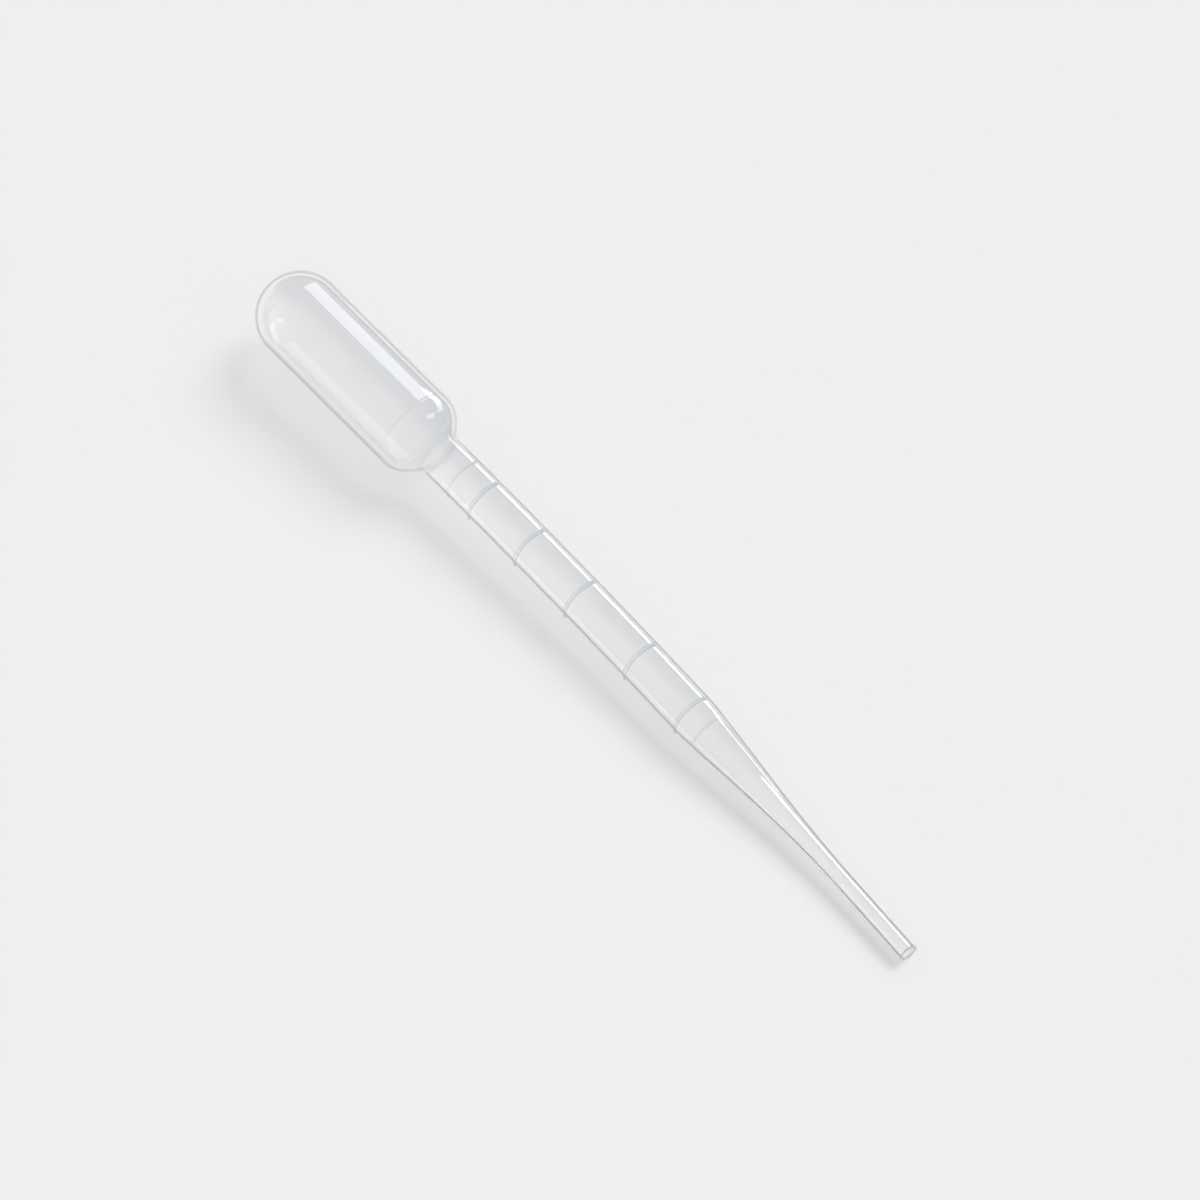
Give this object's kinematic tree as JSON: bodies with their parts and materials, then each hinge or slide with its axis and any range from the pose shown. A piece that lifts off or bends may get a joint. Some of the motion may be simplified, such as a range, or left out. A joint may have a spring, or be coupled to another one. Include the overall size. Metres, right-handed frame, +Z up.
{
  "type": "dropper pipette",
  "caption": "One-piece clear plastic dropper pipette: squeeze bulb, graduated stem with raised marks, long taper and drip tip.",
  "frame": {"origin": "on the floor, under the centre of the pipette's box as it lies at rest", "axes": "+X along the bulb's axis on the floor, from the dome towards the tip; +Z up"},
  "size_m": [0.1548, 0.0148, 0.0163],
  "materials": {
    "clear_polyethylene": "clear, slightly milky blown polyethylene with a smooth gloss"
  },
  "bodies": {
    "root": {"pipette": "clear_polyethylene"}
  },
  "joints": []
}
